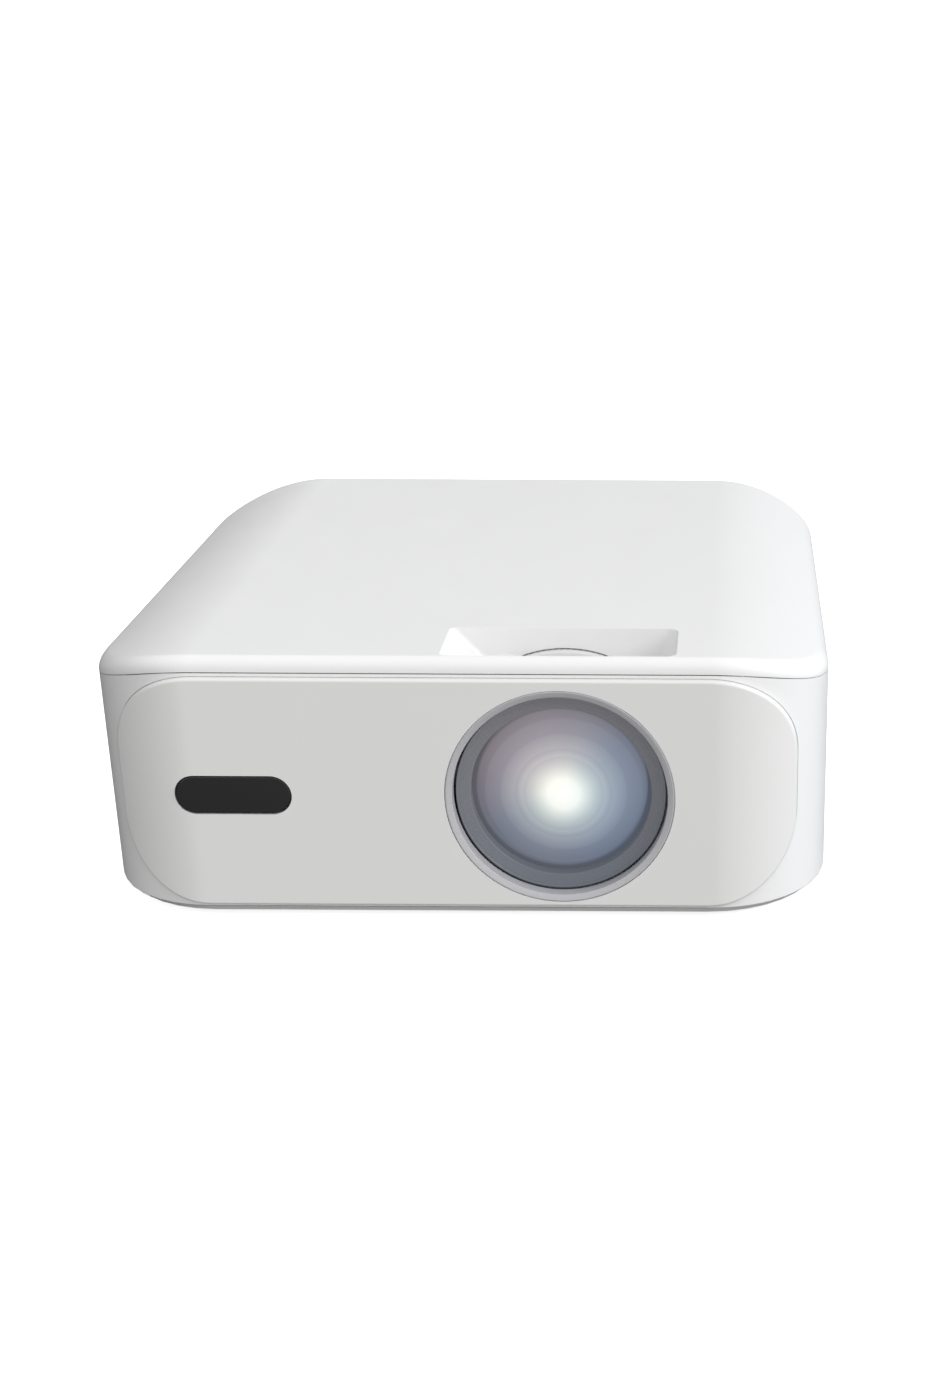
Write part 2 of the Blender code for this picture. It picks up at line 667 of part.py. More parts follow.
def exhaust_fan():
    back = FAN_FRONT + FAN_DEPTH
    low = (LENS_X - 35, FAN_FRONT, LENS_Z - 35)
    high = (LENS_X + 35, back, LENS_Z + 35)
    frame = rounded_block(low, high, 3.0, axis=1, steps=3)
    frame = cut(frame, rod((LENS_X, LENS_Z), 33.0, FAN_FRONT - 4, back + 4, axis=1, steps=40))
    spokes = []
    for quarter in range(4):
        spoke = block((12.0, back - 2.0, -1.2), (34.0, back, 1.2))
        spokes.append(placed(spoke, (LENS_X, 0, LENS_Z), math.pi * (quarter / 2 + 0.25), "Y"))
    frame = join(frame, rod((LENS_X, LENS_Z), 14.0, back - 2.0, back, axis=1), *spokes)
    piece(frame, "fan_frame", "black_plastic")
    rotor = rod((LENS_X, LENS_Z), 15.0, FAN_FRONT + 1.0, back - 2.6, axis=1, steps=28)
    blades = []
    for index in range(7):
        blade = block((13.5, -5.4, -0.8), (31.8, 5.4, 0.8))
        centre = (LENS_X, FAN_FRONT + 6.9, LENS_Z)
        blades.append(placed(blade, centre, index * math.tau / 7, "Y", tilt=math.radians(42)))
    piece(join(rotor, *blades), "fan_rotor", "black_plastic")


BLOWER = (-56.0, 25.0)
BLOWER_LOW = 9.0
BLOWER_HIGH = 24.0


def lcd_blower():
    """A small centrifugal blower that cools the picture panel through the slots of its frame."""
    x, y = BLOWER
    shell = rod(BLOWER, 24.0, BLOWER_LOW, BLOWER_HIGH, steps=36)
    shell = join(shell, block((x, y + 4, BLOWER_LOW), (LENS_X - 57.5 - 0.4, y + 23.5, BLOWER_HIGH)))
    cavity = rod(BLOWER, 22.4, BLOWER_LOW + 1.4, BLOWER_HIGH - 1.4, steps=36)
    duct = block((x, y + 5.4, BLOWER_LOW + 1.4), (LENS_X - 50, y + 22.1, BLOWER_HIGH - 1.4))
    shell = cut(shell, join(cavity, duct), rod(BLOWER, 15.0, BLOWER_LOW - 4, BLOWER_LOW + 4, steps=28))
    piece(shell, "blower_housing", "black_plastic")
    wheel = rod(BLOWER, 20.0, BLOWER_LOW + 2.0, BLOWER_HIGH - 2.2, steps=36)
    wheel = cut(wheel, rod(BLOWER, 16.0, BLOWER_LOW, BLOWER_HIGH - 3.6, steps=28))
    gaps = []
    for index in range(14):
        gap = block((15.0, -1.7, BLOWER_LOW + 3.4), (22.0, 1.7, BLOWER_HIGH - 3.6))
        gaps.append(placed(gap, (x, y, 0), index * math.tau / 14, "Z"))
    wheel = cut(wheel, *gaps)
    wheel = join(wheel, rod(BLOWER, 9.0, BLOWER_LOW + 3.0, BLOWER_HIGH - 3.0, steps=20))
    piece(wheel, "blower_wheel", "black_plastic")


# Electronics and sound

BOARD_Z = 43.4


def circuit_boards():
    board = block((-90, 57, BOARD_Z), (-8, 99, BOARD_Z + 1.6))
    processor = block((-72, 64, BOARD_Z + 1), (-60, 76, BOARD_Z + 3.2))
    memory = block((-50, 66, BOARD_Z + 1), (-42, 80, BOARD_Z + 2.8))
    piece(join(board, processor, memory), "main_board", "circuit_green")
    sink = block((-74, 62, BOARD_Z + 3.5), (-58, 78, BOARD_Z + 5.5))
    places = [-74 + index * 3.625 for index in range(5)]
    fins = [block((x, 62, BOARD_Z + 5), (x + 1.5, 78, BOARD_Z + 12)) for x in places]
    piece(join(sink, *fins), "chip_heat_sink", "aluminium")
    power = block((-98, -70, 10.0), (-36, -14, 11.6))
    piece(power, "power_board", "circuit_green")
    core = block((-84, -64, 11.9), (-58, -42, 30.0))
    winding = rounded_block((-80, -67, 14.0), (-62, -39, 28.0), 4.0, steps=3)
    piece(join(core, winding), "transformer", "phosphor")
    piece(rod((-46.0, -60.0), 8.0, 11.9, 34.0, steps=20), "smoothing_capacitor", "ir_black")
    piece(block((-90, -34, 11.9), (-50, -30, 31.0)), "power_heat_sink", "aluminium")


def rear_sockets():
    x, z = PORTS["hdmi"]
    shell = block((x - 7.6, INSIDE_BACK - 9.5, z - 3.0), (x + 7.6, BACK - 0.3, z + 3.0))
    shell = cut(shell, block((x - 7.1, INSIDE_BACK - 7.0, z - 2.4), (x + 7.1, BACK + 5, z + 2.4)))
    tongue = block((x - 5.6, INSIDE_BACK - 8, z - 0.6), (x + 5.6, BACK - 5.2, z + 0.4))
    piece(join(shell, tongue), "hdmi_socket", "steel")
    x, z = PORTS["usb"]
    shell = block((x - 7.2, INSIDE_BACK - 12.0, z - 3.5), (x + 7.2, BACK - 0.3, z + 3.5))
    shell = cut(shell, block((x - 6.5, INSIDE_BACK - 10.0, z - 2.7), (x + 6.5, BACK + 5, z + 2.7)))
    tongue = block((x - 5.4, INSIDE_BACK - 11, z + 0.2), (x + 5.4, BACK - 5.2, z + 2.0))
    piece(join(shell, tongue), "usb_socket", "steel")
    x, z = PORTS["audio"]
    body = block((x - 4, INSIDE_BACK - 10, z - 3.2), (x + 4, INSIDE_BACK - 0.4, z + 3.2))
    jack = join(body, rod((x, z), 3.2, INSIDE_BACK - 1, BACK - 0.3, axis=1, steps=20))
    jack = cut(jack, rod((x, z), 1.8, INSIDE_BACK - 8, BACK + 5, axis=1, steps=16))
    piece(jack, "audio_jack", "black_plastic")
    x, z = PORTS["power"]
    inlet = block((x - 12, INSIDE_BACK - 16, z - 6.8), (x + 12, BACK - 0.3, z + 6.8))
    inlet = cut(inlet, pill(x, z, 18.0, 8.6, INSIDE_BACK - 12, BACK + 5))
    pins = [rod((x + side * 4.3, z), 1.2, INSIDE_BACK - 13, BACK - 5.2, axis=1, steps=12) for side in (-1, 1)]
    piece(join(inlet, *pins), "power_inlet", "black_plastic")


def power_button():
    x, z = PORTS["button"]
    cap = rod((x, z), 6.0, INSIDE_BACK - 1.0, BACK - 0.1, axis=1, steps=28)
    stem = rod((x, z), 2.0, 99.0, INSIDE_BACK, axis=1, steps=12)
    piece(join(cap, stem), "power_button", "trim_grey")
    switch = block((x - 4, 91.4, BOARD_Z + 1.9), (x + 4, 97.0, z + 3.5))
    piece(switch, "power_switch", "ir_black")


def speakers():
    for name, side in (("left_speaker", -1), ("right_speaker", 1)):
        wall = side * (HALF - WALL - GAP)
        deep = wall - side * 15.0
        low, high = sorted((wall, deep))
        centre = (MIDDLE_Y - 45.0, 41.5)
        near = (low, centre[0] - 20, centre[1] - 17)
        far = (high, centre[0] + 20, centre[1] + 17)
        box = rounded_block(near, far, 3.0, axis=0, steps=3)
        face_low, face_high = sorted((wall + side * 4, wall - side * 2.4))
        dish = rod(centre, 14.5, face_low, face_high, axis=0, steps=32)
        dome_low, dome_high = sorted((wall - side * 1.0, wall - side * 5.0))
        speaker = join(cut(box, dish), rod(centre, 5.0, dome_low, dome_high, axis=0, steps=20))
        piece(speaker, name, "black_plastic")


def dust_filter():
    wall = -HALF + WALL + GAP
    filter_sheet = block((wall, MIDDLE_Y - 22, 23.0), (wall + 3.0, MIDDLE_Y + 70, 62.0))
    piece(filter_sheet, "dust_filter", "foam_grey")


def projector():
    top_cover()
    main_case()
    base_cover()
    front_panel()
    ir_window()
    ir_receiver()
    lens_trim_ring()
    fasteners_and_feet()
    adjuster_foot()
    lens_barrel()
    lens_elements()
    focus_ring()
    lens_mount()
    light_engine()
    exhaust_fan()
    lcd_blower()
    circuit_boards()
    rear_sockets()
    power_button()
    speakers()
    dust_filter()
    lens_axis = (LENS_X, PIN_Y, LENS_Z)
    glasses = ("front_lens", "middle_lens", "rear_lens", "middle_spacer", "rear_spacer")
    for name in ("focus_ring", "focus_pin", "lens_barrel", "lens_retaining_ring", *glasses):
        set_origin(name, lens_axis)
    set_origin("fan_rotor", (LENS_X, FAN_FRONT, LENS_Z))
    set_origin("blower_wheel", (*BLOWER, BLOWER_LOW))
    set_origin("power_button", (PORTS["button"][0], BACK, PORTS["button"][1]))
    set_origin("adjuster_screw", (*ADJUSTER, BOTTOM))
    set_origin("adjuster_pad", (*ADJUSTER, BOTTOM))


clear_scene()
parts = collection("home_projector")
cutters = collection("cutters")
projector()
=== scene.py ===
# A compact white home projector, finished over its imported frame.
import math

import bmesh
import bpy
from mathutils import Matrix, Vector


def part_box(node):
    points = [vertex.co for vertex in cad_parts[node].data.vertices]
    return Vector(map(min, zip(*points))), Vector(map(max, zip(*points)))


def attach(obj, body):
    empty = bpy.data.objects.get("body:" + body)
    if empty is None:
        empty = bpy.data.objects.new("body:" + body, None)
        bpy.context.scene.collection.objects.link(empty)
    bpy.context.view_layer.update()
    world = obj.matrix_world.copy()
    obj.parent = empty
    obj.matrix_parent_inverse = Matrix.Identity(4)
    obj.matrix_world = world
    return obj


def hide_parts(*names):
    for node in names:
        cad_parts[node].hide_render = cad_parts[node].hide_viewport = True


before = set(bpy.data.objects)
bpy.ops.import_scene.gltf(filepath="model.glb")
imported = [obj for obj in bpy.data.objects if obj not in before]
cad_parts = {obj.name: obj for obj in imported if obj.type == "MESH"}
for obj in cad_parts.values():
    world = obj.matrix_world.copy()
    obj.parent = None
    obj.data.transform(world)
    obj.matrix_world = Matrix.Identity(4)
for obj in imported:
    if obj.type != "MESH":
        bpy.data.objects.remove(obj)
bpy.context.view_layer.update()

mm = 0.001
touch = 1e-6  # metres: closer than this is the same place
rootBody = "projector_body"


# modelling helpers

def mmBox(node):
    low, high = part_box(node)  # in millimetres
    return Vector(low) / mm, Vector(high) / mm


def deselectAll():
    if bpy.context.mode != "OBJECT":
        bpy.ops.object.mode_set(mode="OBJECT")
    bpy.ops.object.select_all(action="DESELECT")


def makeActive(obj):
    deselectAll()
    obj.select_set(True)
    bpy.context.view_layer.objects.active = obj


def applyAll(obj):
    makeActive(obj)
    for modifier in list(obj.modifiers):
        bpy.ops.object.modifier_apply(modifier=modifier.name)


def applyPlace(obj):
    makeActive(obj)
    bpy.ops.object.transform_apply(location=True, rotation=True, scale=True)


def selectWhere(obj, kind, test):
    # opens edit mode with the verts, edges or faces that pass a test on their bmesh element
    makeActive(obj)
    bpy.ops.object.mode_set(mode="EDIT")
    bpy.ops.mesh.select_mode(type={"verts": "VERT", "edges": "EDGE", "faces": "FACE"}[kind])
    bpy.ops.mesh.select_all(action="DESELECT")
    bm = bmesh.from_edit_mesh(obj.data)
    bm.normal_update()
    picked = [element for element in getattr(bm, kind) if test(element)]
    for element in picked:
        element.select = True
    bm.select_flush_mode()
    bmesh.update_edit_mesh(obj.data)
    return len(picked)


def runsAlong(edge, axis):
    step = edge.verts[1].co - edge.verts[0].co
    return abs(step[axis]) > 0.999 * step.length


def allAt(edge, axis, place):
    # an edge that lies at one place along an axis
    return all(abs(vert.co[axis] - place * mm) < touch for vert in edge.verts)


def bevelEdges(obj, test, width, segments=4):
    if selectWhere(obj, "edges", test):
        bpy.ops.mesh.bevel(
            offset=width * mm, segments=segments, profile=0.5, affect="EDGES", clamp_overlap=True)
    bpy.ops.object.mode_set(mode="OBJECT")


def boxPiece(name, low, high, radius=0.0, axis=2, segments=12):
    # a box between two corners in millimetres, with the edges along an axis rounded
    low, high = Vector(low), Vector(high)
    deselectAll()
    bpy.ops.mesh.primitive_cube_add(size=1.0, location=(low + high) / 2 * mm, scale=(high - low) * mm)
    obj = bpy.context.object
    obj.name = name
    applyPlace(obj)
    if radius:
        bevelEdges(obj, lambda edge: runsAlong(edge, axis), radius, segments)
    return obj


def rodPiece(name, centre, radius, start, end, sides):
    # a rod from front to back, its centre given in x and z
    place = Vector((centre[0], (start + end) / 2, centre[1]))
    deselectAll()
    bpy.ops.mesh.primitive_cylinder_add(
        vertices=sides, radius=radius * mm, depth=(end - start) * mm, location=place * mm,
        rotation=(math.pi / 2, 0, 0))
    obj = bpy.context.object
    obj.name = name
    applyPlace(obj)
    return obj


def spunPiece(name, profile, centre, steps):
    # a closed ring or a solid turned from (radius, y) points in millimetres, spun in edit mode
    solid = profile[0][0] == 0 and profile[-1][0] == 0
    deselectAll()
    bpy.ops.mesh.primitive_circle_add(vertices=len(profile), radius=mm)
    obj = bpy.context.object
    obj.name = name
    bpy.ops.object.mode_set(mode="EDIT")
    bm = bmesh.from_edit_mesh(obj.data)
    bm.verts.ensure_lookup_table()
    place = Vector((centre[0], 0, centre[1]))
    for vert, (radius, run) in zip(bm.verts, profile):
        vert.co = (Vector((radius, run, 0)) + place) * mm
    if solid:  # the edge that closes the outline lies on the axis and isn't wanted
        ends = {0, len(profile) - 1}
        bm.edges.remove(next(edge for edge in bm.edges if {vert.index for vert in edge.verts} == ends))
    bmesh.update_edit_mesh(obj.data)
    bpy.ops.mesh.select_all(action="SELECT")
    bpy.ops.mesh.spin(steps=steps, angle=math.tau, center=place * mm, axis=(0, 1, 0))
    bpy.ops.mesh.select_all(action="SELECT")
    bpy.ops.mesh.remove_doubles(threshold=touch)
    bpy.ops.mesh.normals_make_consistent(inside=False)
    bpy.ops.object.mode_set(mode="OBJECT")
    applyPlace(obj)
    return obj


def boolean(obj, operation, *others):
    for other in others:
        modifier = obj.modifiers.new(operation.lower(), "BOOLEAN")
        modifier.operation = operation
        modifier.object = other
        modifier.solver = "EXACT"
    applyAll(obj)
    for other in others:
        bpy.data.objects.remove(other)
    return obj


def cut(obj, *others):
    return boolean(obj, "DIFFERENCE", *others)


def join(obj, *others):
    return boolean(obj, "UNION", *others)


def gathered(pieces):
    # loose pieces as one object
    makeActive(pieces[0])
    for other in pieces:
        other.select_set(True)
    bpy.ops.object.join()
    return bpy.context.object


def copyOf(obj, name):
    makeActive(obj)
    bpy.ops.object.duplicate()
    made = bpy.context.object
    made.name = name
    return made


def smooth(obj):
    # rounded edges shade smoothly and the broad faces between them stay even
    makeActive(obj)
    bpy.ops.object.shade_smooth_by_angle(angle=math.radians(30))
    even = obj.modifiers.new("even", "WEIGHTED_NORMAL")
    even.keep_sharp = True
    applyAll(obj)


def dress(obj, body, material, node, slot):
    # shades and dresses a piece, hangs it on the empty of the body it rides on, and hides the CAD node it
    # stands for
    smooth(obj)
    obj.data.materials.clear()
    obj.data.materials.append(material)
    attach(obj, body)
    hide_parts(node)


def mergedCopy(node):
    # a CAD node's own shape as one clean mesh, ready for finer edges
    made = copyOf(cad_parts[node], node + "_finish")
    made.data.materials.clear()
    bpy.ops.object.mode_set(mode="EDIT")
    bpy.ops.mesh.select_all(action="SELECT")
    bpy.ops.mesh.remove_doubles(threshold=2e-6)
    bpy.ops.mesh.dissolve_limited(angle_limit=math.radians(0.5))
    bpy.ops.object.mode_set(mode="OBJECT")
    return made


# materials

class Sock:
    # one socket of a node tree, with arithmetic that adds the Math nodes it needs

    def __init__(self, graph, socket):
        self.graph = graph
        self.socket = socket

    def math(self, operation, *others, clamp=False):
        values = {0: self}
        values.update({index + 1: other for index, other in enumerate(others)})
        return self.graph.node("ShaderNodeMath", {"operation": operation, "use_clamp": clamp}, values)

    def __add__(self, other):
        return self.math("ADD", other)

    __radd__ = __add__

    def __mul__(self, other):
        return self.math("MULTIPLY", other)

    __rmul__ = __mul__

    def __sub__(self, other):
        return self.math("SUBTRACT", other)

    def __rsub__(self, other):
        return self.graph.node("ShaderNodeMath", {"operation": "SUBTRACT"}, {0: other, 1: self})

    def __truediv__(self, other):
        return self.math("DIVIDE", other)


class Graph:
    # a material's node tree around one Principled shader

    def __init__(self, name, baseColor, roughness, metallic=0.0, **constants):
        self.material = bpy.data.materials.new(name)
        self.material.use_nodes = True
        self.tree = self.material.node_tree
        self.shader = self.tree.nodes["Principled BSDF"]
        self.set("Base Color", (*baseColor, 1.0))
        self.set("Roughness", roughness)
        self.set("Metallic", metallic)
        for key, value in constants.items():
            self.set(key.replace("_", " "), value)
        self.material.diffuse_color = (*baseColor, 1.0)

    def set(self, socket, value):
        self.shader.inputs[socket].default_value = value

    def node(self, kind, settings=None, inputs=None, output=0):
        made = self.tree.nodes.new(kind)
        stops = None
        for key, value in (settings or {}).items():
            if key == "stops":
                stops = value
            else:
                setattr(made, key, value)
        if stops:
            ramp = made.color_ramp
            while len(ramp.elements) < len(stops):
                ramp.elements.new(0.5)
            for element, (position, colour) in zip(ramp.elements, stops):
                element.position = position
                element.color = (*colour, 1.0)
        for key, value in (inputs or {}).items():
            if isinstance(value, Sock):
                self.tree.links.new(value.socket, made.inputs[key])
            else:
                made.inputs[key].default_value = value
        return Sock(self, made.outputs[output])

    def place(self):
        return self.node("ShaderNodeTexCoord", output="Object")

    def noise(self, size, detail, stretch=(1, 1, 1)):
        # noise whose spots are about size millimetres across
        mapped = self.node("ShaderNodeMapping", None, {"Vector": self.place(), "Scale": stretch})
        return self.node(
            "ShaderNodeTexNoise", None, {"Vector": mapped, "Scale": 1.0 / (size * mm), "Detail": detail})

    def mix(self, factor, first, second, blend="MIX"):
        settings = {"data_type": "RGBA", "blend_type": blend}
        return self.node("ShaderNodeMix", settings, {"Factor": factor, 6: first, 7: second}, output=2)

    def feed(self, socket, value):
        self.tree.links.new(value.socket, self.shader.inputs[socket])

    def bump(self, height, distance, strength):
        values = {"Height": height, "Distance": distance * mm, "Strength": strength}
        self.feed("Normal", self.node("ShaderNodeBump", None, values))

    def along(self, axis):
        # place along x, y or z in millimetres
        return self.node("ShaderNodeSeparateXYZ", None, {0: self.place()}, output=axis) / mm

    def radius(self, centre):
        # distance in millimetres from a line that runs front to back
        across = self.along(0) - centre[0]
        up = self.along(2) - centre[1]
        return (across * across + up * up).math("SQRT")


def mouldedPlastic(name, light, dark, roughness, grain, grainDepth, **constants):
    # moulded plastic: a faint mottle of shade, spark-fine surface grain and uneven gloss
    graph = Graph(name, light, roughness, **constants)
    mottle = graph.noise(38.0, detail=2.0)
    graph.feed("Base Color", graph.mix(mottle, (*dark, 1.0), (*light, 1.0)))
    rub = graph.noise(9.0, detail=4.0)
    graph.feed("Roughness", (rub - 0.5) * (roughness * 0.35) + roughness)
    fine = graph.noise(grain, detail=2.0)
    graph.bump(fine, grainDepth, 0.6)
    return graph.material


def paintedMetal(name, colour, roughness, streak, metallic=1.0):
    # drawn or brushed metal, or paint like it: long streaks in shade and gloss
    graph = Graph(name, colour, roughness, metallic)
    lines = graph.noise(1.2, detail=4.0, stretch=streak)
    darker = tuple(part * 0.82 for part in colour)
    graph.feed("Base Color", graph.mix(lines, (*darker, 1.0), (*colour, 1.0)))
    graph.feed("Roughness", (lines - 0.5) * 0.18 + roughness)
    graph.bump(lines, 0.006, 0.5)
    return graph.material


# casing

coverLow, coverHigh = mmBox("top_cover")
caseLow, caseHigh = mmBox("main_case")
baseLow, baseHigh = mmBox("base_cover")
panelLow, panelHigh = mmBox("front_panel")
trimLow, trimHigh = mmBox("lens_trim_ring")
ringLow, ringHigh = mmBox("focus_ring")
lens = ((trimLow.x + trimHigh.x) / 2, (trimLow.z + trimHigh.z) / 2)  # x and z of the lens axis
front, back = caseLow.y, caseHigh.y
halfWidth = caseHigh.x
top = coverHigh.z

casing = {
    "corner": 36.0,  # plan radius of the four upright corners
    "steps": 24,
    "crownDrop": 9.5,  # how far the top falls at each side
    "crownWidth": 37.0,
    "skirt": 4.3,  # height of the lid's upright edge
    "topEdge": 3.8,
    "footEdge": 0.3,
    "footDraw": 1.6,  # how far the band draws in towards its foot
    "rimBand": 0.6,  # the foot edge's own vertices lie within this of the outline
    "wall": 2.4,
    "gap": 0.3,  # parting line under the lid
}


def dropCrown(obj, above):
    # lets everything above a height fall away towards both sides
    for vert in obj.data.vertices:
        if vert.co.z > above * mm:
            inside = max(0.0, 1.0 - (halfWidth - abs(vert.co.x / mm)) / casing["crownWidth"])
            vert.co.z -= casing["crownDrop"] * inside ** 2 * mm


def arcPlaces(middle, radius, steps):
    # the places across a quarter arc at which its steps lie
    return [middle + radius * math.sin(math.radians(90.0 * k / steps)) for k in range(steps)]


def columns(obj, places, test):
    # cuts the faces that pass a test along upright planes at +x and -x
    for place in places:
        for x in (-place, place):
            if selectWhere(obj, "faces", test):
                bpy.ops.mesh.bisect(plane_co=(x * mm, 0, 0), plane_no=(1, 0, 0))
            bpy.ops.object.mode_set(mode="OBJECT")


def outline(name, inset, low, high):
    # the casing's plan outline, drawn in by an inset, between two heights
    return boxPiece(
        name, (-halfWidth + inset, front + inset, low), (halfWidth - inset, back - inset, high),
        casing["corner"] - inset, segments=casing["steps"])


recess = {
    "width": 70.0,
    "front": 3.8,  # behind the casing's front
    "back": 28.6,
    "depth": 9.8,
    "leans": (9.4, 3.0),  # how far its left and right ends lean in towards the floor
    "corners": (1.8, 3.0),  # radius of the left and of the right upright corners
    "foot": 1.4,  # radius round its floor
    "rim": 0.7,
    "tub": 1.5,  # wall of the tub that hangs under the lid
    "ringGap": 0.35,  # room round the focus ring
}


def trough(name, grow, low, high):
    # the recess as a solid: its ends slope in towards its floor
    left = lens[0] - recess["width"] / 2 - grow
    right = lens[0] + recess["width"] / 2 + grow
    near = front + recess["front"] - min(grow, 1.0)
    far = front + recess["back"] + grow
    middle = (left + right) / 2 * mm
    obj = boxPiece(name, (left, near, low), (right, far, high))
    share = (high - low) / recess["depth"] * mm

    def onSide(vert, side):
        return (vert.co.x - middle) * side > 0

    def upright(edge):
        return abs(edge.verts[0].co.z - edge.verts[1].co.z) > 0.5 * (high - low) * mm

    for side, lean in zip((-1, 1), recess["leans"]):
        selectWhere(obj, "verts", lambda vert: vert.co.z < (low + 0.1) * mm and onSide(vert, side))
        bpy.ops.transform.translate(value=(-side * lean * share, 0, 0))
        bpy.ops.object.mode_set(mode="OBJECT")
    for side, corner in zip((-1, 1), recess["corners"]):
        bevelEdges(
            obj, lambda edge: upright(edge) and all(onSide(vert, side) for vert in edge.verts), corner, 6)
    bevelEdges(obj, lambda edge: allAt(edge, 2, low), recess["foot"])
    return obj


def makeTopCover(material):
    low = top - casing["skirt"]
    arm, steps = casing["corner"], casing["steps"]
    cover = outline("topCover", 0.0, low, top)
    bend = halfWidth - arm
    bevelEdges(
        cover, lambda edge: all(vert.co.z > (top - 0.01) * mm for vert in edge.verts), casing["topEdge"], 8)
    columns(cover, arcPlaces(bend, arm - casing["topEdge"], steps), lambda face: face.normal.z > 0.99)
    columns(cover, arcPlaces(bend, arm, steps), lambda face: face.normal.z < -0.99)
    dropCrown(cover, low - 1)
    floor = top - recess["depth"]
    wall = recess["tub"]
    cover = join(cover, trough("tub", wall, floor - 1.4, top - wall))
    cutter = trough("pocket", 0.0, floor, top)
    if selectWhere(cutter, "faces", lambda face: face.normal.z > 0.99):  # the cutter stands above the top
        bpy.ops.mesh.extrude_region_move(TRANSFORM_OT_translate={"value": (0, 0, 3.0 * mm)})
    bpy.ops.object.mode_set(mode="OBJECT")
    room = recess["ringGap"]
    clearance = rodPiece(
        "clearance", lens, ringHigh.x - lens[0] + room, ringLow.y - room, ringHigh.y + 1.0, sides=96)
    cover = cut(cover, cutter, clearance)
    near = front + recess["front"] - 0.5
    far = front + recess["back"] + 0.5

    def rim(edge):
        ends = [vert.co / mm for vert in edge.verts]
        level = all(abs(end.z - top) < 0.02 for end in ends)
        inside = all(near < end.y < far and abs(end.x - lens[0]) < recess["width"] / 2 + 0.5 for end in ends)
        return level and inside and edge.calc_face_angle(0) > 0.3

    bevelEdges(cover, rim, recess["rim"])
    dress(cover, rootBody, material, "top_cover", "shell_white")


panel = {
    "corner": 27.0,  # corner radius seen from the front
    "steps": 20,
    "proud": 1.8,
    "gap": 0.14,
    "inner": 0.6,  # how far its back lies inside the casing's outline
    "edge": 0.9,
    "holeGap": 0.07,
    "holeEdge": 0.35,
}


def wrappedPlate(name, grow, outer, inner, edge):
    # a plate with round corners whose ends follow the casing's front corners; outer and inner are insets
    low = (panelLow.x - grow, front + outer, panelLow.z - grow)
    high = (panelHigh.x + grow, front + inner, panelHigh.z + grow)
    arm, steps = panel["corner"] + grow, panel["steps"]
    plate = boxPiece(name, low, high, arm, axis=1, segments=steps)
    if edge:
        bevelEdges(plate, lambda line: allAt(line, 1, front + outer), edge, 6)
    bend = halfWidth - casing["corner"]
    reach = high[0] - arm
    places = [x for x in arcPlaces(reach, arm - edge, steps) if x > bend]
    columns(plate, places, lambda face: face.normal.y < -0.99)
    places = [x for x in arcPlaces(reach, arm, steps) if x > bend]
    columns(plate, places, lambda face: face.normal.y > 0.99)
    for vert in plate.data.vertices:
        beyond = max(0.0, abs(vert.co.x / mm) - bend)
        radius = casing["corner"] - (vert.co.y / mm - front)
        vert.co.y += (radius - math.sqrt(radius ** 2 - beyond ** 2)) * mm
    return plate


window = {"width": 34.6, "height": 12.0, "gap": 0.3, "rim": 0.5}
windowLow, windowHigh = mmBox("ir_window")
windowPlace = ((windowLow.x + windowHigh.x) / 2, (windowLow.z + windowHigh.z) / 2)


def pill(name, place, width, height, start, end):
    # a bar with round ends, lying across, through the front
    low = (place[0] - width / 2, start, place[1] - height / 2)
    high = (place[0] + width / 2, end, place[1] + height / 2)
    return boxPiece(name, low, high, height / 2 - 0.01, axis=1, segments=16)


def makeFrontPanel(material):
    plate = wrappedPlate("frontPanel", 0.0, -panel["proud"], panel["inner"], panel["edge"])
    start, end = panelLow.y - 3, front + 6
    gap = 2 * window["gap"]
    hole = rodPiece("hole", lens, trimHigh.x - lens[0] + panel["holeGap"], start, end, sides=128)
    slot = pill("slot", windowPlace, window["width"] + gap, window["height"] + gap, start, end)
    plate = cut(plate, hole, slot)

    def holeEdge(edge):
        inner = all(abs(vert.co.x) < 0.095 for vert in edge.verts)
        return inner and allAt(edge, 1, panelLow.y) and edge.calc_face_angle(0) > 1.0

    bevelEdges(plate, holeEdge, panel["holeEdge"], 3)
    dress(plate, rootBody, material, "front_panel", "panel_white")


vents = {
    "pitch": 5.6,
    # the side's slots are placed from the casing's middle, the rear's from the lens axis
    "side": {"rows": 7, "length": 61.0, "height": 2.4, "foot": 24.0, "starts": (-64.0, 3.0)},
    "rear": {"rows": 11, "length": 29.5, "height": 2.6, "foot": -30.4, "starts": (-31.0, 1.5)},
}

ports = {  # x, z, width and height of each opening in the back; round ones have no height
    "hdmi_socket": (-18.0, 49.0, 16.4, 7.2),
    "usb_socket": (-38.0, 49.0, 15.6, 8.2),
    "audio_jack": (-54.0, 48.6, 7.2, 0.0),
    "power_button": (-68.0, 49.0, 12.8, 0.0),
    "power_inlet": (-60.0, 20.0, 24.8, 14.4),
}


def ventSlot(low, high, axis):
    return boxPiece("slot", low, high, (high[2] - low[2]) / 2 - 0.01, axis=axis, segments=5)


def sideSlots():
    side = vents["side"]
    middle = (front + back) / 2
    for row in range(side["rows"]):
        z = side["foot"] + row * vents["pitch"]
        for start in side["starts"]:
            y = middle + start
            for low, high in ((-halfWidth - 4, -halfWidth + 6), (halfWidth - 6, halfWidth + 4)):
                yield ventSlot((low, y, z), (high, y + side["length"], z + side["height"]), 0)


def rearSlots():
    rear = vents["rear"]
    for row in range(rear["rows"]):
        z = lens[1] + rear["foot"] + row * vents["pitch"]
        for start in rear["starts"]:
            x = lens[0] + start
            yield ventSlot((x, back - 6, z), (x + rear["length"], back + 3, z + rear["height"]), 1)


